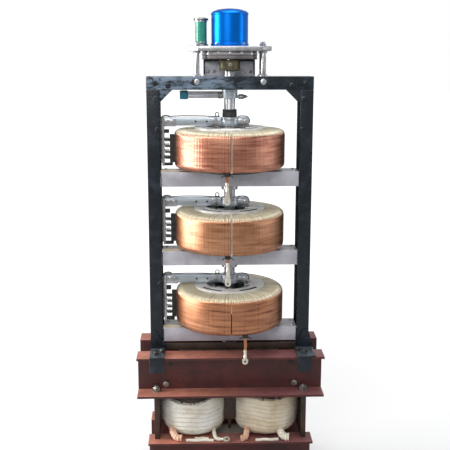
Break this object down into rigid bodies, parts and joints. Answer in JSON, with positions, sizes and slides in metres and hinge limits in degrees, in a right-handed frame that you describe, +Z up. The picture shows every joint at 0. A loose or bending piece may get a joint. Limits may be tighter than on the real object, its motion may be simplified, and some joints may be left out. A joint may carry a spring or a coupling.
{
  "type": "motorised three-gang variable autotransformer",
  "caption": "Motor-driven stack of toroidal variable autotransformers in a channel frame, standing on a buck-boost transformer with taped coils between clamping channels.",
  "frame": {"origin": "on the floor, under the shaft that turns the brush arms", "axes": "+Z up along the shaft; +X to the right seen from the front; -Y towards the front, where the winding taps hang"},
  "size_m": [0.516, 0.2999, 1.297],
  "materials": {
    "red_oxide": "matt",
    "black_paint": "gloss",
    "shelf_zinc": "satin",
    "core_steel": "satin",
    "copper_turns": "satin",
    "cotton_tape": "matt",
    "zinc_steel": "satin",
    "clamp_grey": "satin",
    "hub_green": "satin",
    "arm_aluminium": "satin",
    "carbon": "matt",
    "tinned_copper": "satin",
    "brass": "satin",
    "blue_enamel": "gloss",
    "green_enamel": "gloss",
    "teal_plastic": "satin"
  },
  "bodies": {
    "root": {"base_channel_front": "red_oxide", "base_channel_rear": "red_oxide", "yoke_channel_front": "red_oxide", "yoke_channel_rear": "red_oxide", "transformer_core": "core_steel", "coil_left": "cotton_tape", "coil_right": "cotton_tape", "side_post_left": "red_oxide", "side_post_right": "red_oxide", "yoke_bolt_left": "zinc_steel", "yoke_bolt_right": "zinc_steel", "foot_left": "black_paint", "foot_right": "black_paint", "leg_left": "black_paint", "leg_right": "black_paint", "top_beam": "black_paint", "shelf_lower": "shelf_zinc", "hub_lower": "hub_green", "winding_lower": "copper_turns", "winding_core_lower": "core_steel", "clamp_ring_lower": "clamp_grey", "tap_lower": "tinned_copper", "shelf_middle": "shelf_zinc", "hub_middle": "hub_green", "winding_middle": "copper_turns", "winding_core_middle": "core_steel", "clamp_ring_middle": "clamp_grey", "tap_middle": "tinned_copper", "shelf_upper": "shelf_zinc", "hub_upper": "hub_green", "winding_upper": "copper_turns", "winding_core_upper": "core_steel", "clamp_ring_upper": "clamp_grey", "tap_upper": "tinned_copper", "motor_plate": "zinc_steel", "standoff_front_left": "zinc_steel", "standoff_front_right": "zinc_steel", "standoff_rear_left": "zinc_steel", "standoff_rear_right": "zinc_steel", "gear_case": "shelf_zinc", "drive_bracket": "shelf_zinc", "motor": "blue_enamel", "resistor": "green_enamel", "limit_switch_left": "teal_plastic", "limit_switch_right": "teal_plastic"},
    "rotor": {"main_shaft": "zinc_steel", "coupling": "brass", "motor_shaft": "zinc_steel", "limit_arm": "zinc_steel", "brush_arm_lower": "arm_aluminium", "brush_holder_lower": "zinc_steel", "brush_arm_middle": "arm_aluminium", "brush_holder_middle": "zinc_steel", "brush_arm_upper": "arm_aluminium", "brush_holder_upper": "zinc_steel"},
    "brush_lower": {"carbon_brush_lower": "carbon"},
    "brush_middle": {"carbon_brush_middle": "carbon"},
    "brush_upper": {"carbon_brush_upper": "carbon"},
    "lever_left": {"limit_lever_left": "zinc_steel"},
    "lever_right": {"limit_lever_right": "zinc_steel"}
  },
  "joints": [
    {"name": "shaft_turn", "type": "hinge", "parent": "root", "child": "rotor", "pos_m": [0, 0, 0.75], "axis": [0, 0, 1], "range_deg": [-250, 70]},
    {"name": "brush_lower_press", "type": "slide", "parent": "rotor", "child": "brush_lower", "axis": [-1, 0, 0], "range_m": [0, 0.005], "stiffness_N_per_m": 150, "springref_m": -0.001},
    {"name": "brush_middle_press", "type": "slide", "parent": "rotor", "child": "brush_middle", "axis": [-1, 0, 0], "range_m": [0, 0.005], "stiffness_N_per_m": 150, "springref_m": -0.001},
    {"name": "brush_upper_press", "type": "slide", "parent": "rotor", "child": "brush_upper", "axis": [-1, 0, 0], "range_m": [0, 0.005], "stiffness_N_per_m": 150, "springref_m": -0.001},
    {"name": "lever_left_trip", "type": "hinge", "parent": "root", "child": "lever_left", "pos_m": [-0.003, 0.0275, 1.1037], "axis": [0, -1, 0], "range_deg": [0, 8], "stiffness_Nm_per_rad": 0.01},
    {"name": "lever_right_trip", "type": "hinge", "parent": "root", "child": "lever_right", "pos_m": [0.003, 0.0275, 1.1037], "axis": [0, 1, 0], "range_deg": [0, 8], "stiffness_Nm_per_rad": 0.01}
  ]
}
